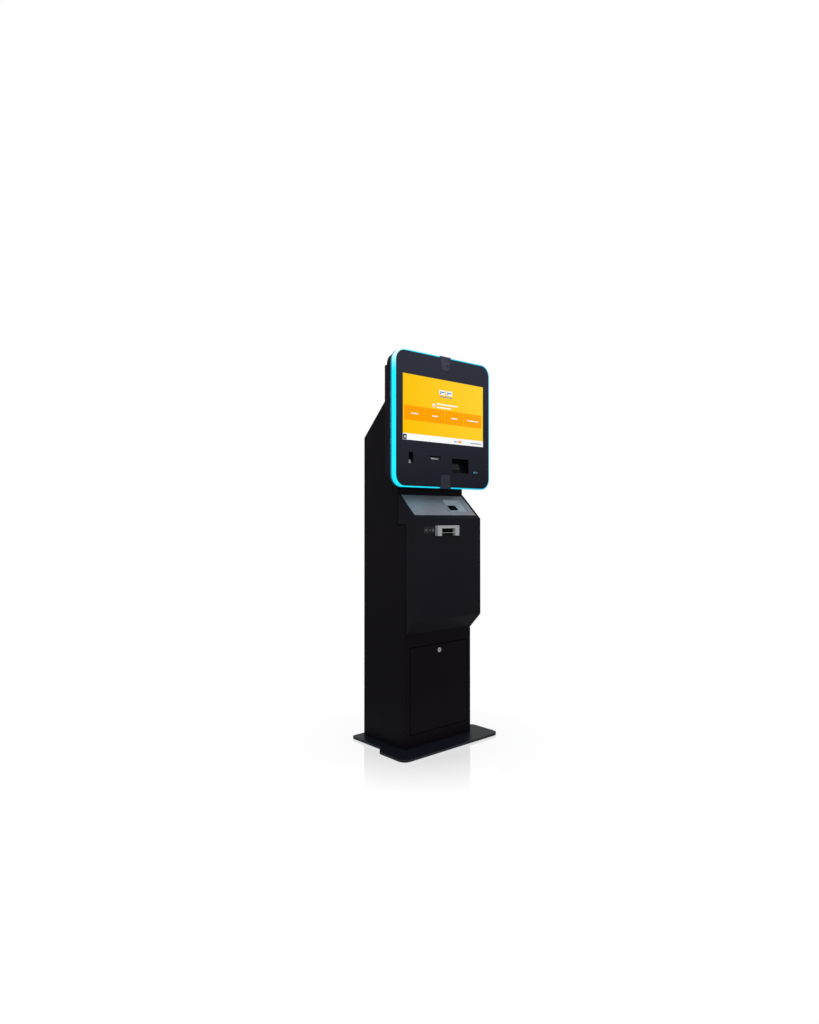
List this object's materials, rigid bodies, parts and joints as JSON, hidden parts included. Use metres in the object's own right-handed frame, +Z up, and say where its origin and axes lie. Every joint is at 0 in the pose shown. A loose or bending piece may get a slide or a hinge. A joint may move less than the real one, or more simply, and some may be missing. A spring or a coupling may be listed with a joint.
{
  "type": "self-service cash machine",
  "caption": "Slim free-standing cash kiosk: floor plate, sheet-metal column with service doors, slanted card shelf, note inlet, and a square touchscreen head with a lit edge.",
  "frame": {"origin": "on the floor, under the middle of the floor plate", "axes": "+Z up, the customer's side faces -Y, +X to the customer's right"},
  "size_m": [0.56, 0.392, 1.6418],
  "materials": {
    "charcoal_paint": "fine-textured powder coat, near-black charcoal, satin",
    "tray_paint": "fine-textured powder coat, near-black charcoal, satin",
    "slate_paint": "powder coat, dark slate, satin",
    "bezel_plastic": "dark blue-grey moulded plastic, fine grain, satin",
    "clip_plastic": "slate moulded plastic, satin",
    "black_plastic": "black moulded plastic",
    "lit_acrylic": "edge-lit cyan acrylic light guide, glowing",
    "dark_glass": "dark polished cover glass",
    "brushed_steel": "brushed stainless sheet",
    "satin_silver": "satin silver metal",
    "zinc": "zinc-plated steel",
    "grey_rubber": "matt rubber",
    "white_paper": "thermal receipt paper"
  },
  "bodies": {
    "cabinet": {"base_plate": "slate_paint", "anchor_bolt_1": "zinc", "anchor_bolt_2": "zinc", "anchor_bolt_3": "zinc", "anchor_bolt_4": "zinc", "left_side_panel": "charcoal_paint", "right_side_panel": "charcoal_paint", "back_panel": "charcoal_paint", "sloped_top_panel": "charcoal_paint", "front_frame": "charcoal_paint", "recess_panel": "charcoal_paint", "upper_hinge_rod": "zinc", "lower_hinge_rod": "zinc", "head_hinge_rod": "zinc", "equipment_shelf": "zinc", "head_tray": "tray_paint", "head_box": "tray_paint", "note_unit": "black_plastic", "cash_cassette": "black_plastic", "computer": "black_plastic", "power_supply": "zinc", "fan_housing": "black_plastic", "fan_guard": "zinc", "power_inlet": "black_plastic", "cable_gland": "black_plastic"},
    "cassette_handle": {"cassette_handle": "zinc"},
    "fan_rotor": {"fan_rotor": "black_plastic"},
    "power_rocker": {"power_rocker": "black_plastic"},
    "lower_door": {"lower_door_panel": "charcoal_paint", "lower_lock_barrel": "satin_silver"},
    "lower_lock": {"lower_lock_plug": "satin_silver"},
    "upper_door": {"upper_door_case": "charcoal_paint", "shelf_plate": "brushed_steel", "reader_pocket": "black_plastic", "card_reader": "satin_silver", "reader_window": "dark_glass", "inlet_surround": "satin_silver", "inlet_lip": "brushed_steel", "note_head": "black_plastic", "pictogram_plate": "clip_plastic", "upper_lock_barrel": "satin_silver"},
    "upper_lock": {"upper_lock_plug": "satin_silver"},
    "head_door": {"bezel": "bezel_plastic", "light_ring": "lit_acrylic", "upper_clip": "clip_plastic", "lower_clip": "clip_plastic", "display_glass": "dark_glass", "display_module": "black_plastic", "camera_module": "black_plastic", "camera_lens": "dark_glass", "finger_guide": "black_plastic", "finger_sensor": "satin_silver", "receipt_throat": "black_plastic", "receipt_paper": "white_paper", "printer_case": "black_plastic", "scanner_hood": "black_plastic", "scanner_window": "dark_glass", "badge": "clip_plastic"},
    "paper_roll": {"paper_roll": "white_paper"},
    "platen_roller": {"platen_roller": "grey_rubber"}
  },
  "joints": [
    {"name": "upper_door_swing", "type": "hinge", "parent": "cabinet", "child": "upper_door", "pos_m": [-0.184, -0.124, 0.735], "axis": [0, 0, 1], "range_deg": [-90, 0]},
    {"name": "upper_lock_turn", "type": "hinge", "parent": "upper_door", "child": "upper_lock", "pos_m": [0.192, -0.126, 0.74], "axis": [1, 0, 0], "range_deg": [-90, 0]},
    {"name": "lower_door_drop", "type": "hinge", "parent": "cabinet", "child": "lower_door", "pos_m": [0, -0.098, 0.073], "axis": [1, 0, 0], "range_deg": [0, 90]},
    {"name": "lower_lock_turn", "type": "hinge", "parent": "lower_door", "child": "lower_lock", "pos_m": [0, -0.104, 0.396], "axis": [0, -1, 0], "range_deg": [0, 90]},
    {"name": "head_swing", "type": "hinge", "parent": "cabinet", "child": "head_door", "pos_m": [-0.2725, -0.106, 1.362], "axis": [0, 0, 1], "range_deg": [-90, 0]},
    {"name": "paper_roll_spin", "type": "hinge", "parent": "head_door", "child": "paper_roll", "pos_m": [-0.0605, -0.0599, 1.1995], "axis": [1, 0, 0], "continuous": true},
    {"name": "platen_spin", "type": "hinge", "parent": "head_door", "child": "platen_roller", "pos_m": [-0.0605, -0.1059, 1.2024], "axis": [1, 0, 0], "continuous": true},
    {"name": "fan_spin", "type": "hinge", "parent": "cabinet", "child": "fan_rotor", "pos_m": [0, 0.1562, 0.96], "axis": [0, 1, 0], "continuous": true},
    {"name": "power_switch_rock", "type": "hinge", "parent": "cabinet", "child": "power_rocker", "pos_m": [-0.1135, 0.168, 0.12], "axis": [1, 0, 0], "range_deg": [-18, 0]},
    {"name": "cassette_handle_swing", "type": "hinge", "parent": "cabinet", "child": "cassette_handle", "pos_m": [0, -0.059, 0.24], "axis": [1, 0, 0], "range_deg": [-90, 0]}
  ],
  "couplings": [
    {"joint": "platen_spin", "follows": "paper_roll_spin", "ratio": 4}
  ]
}
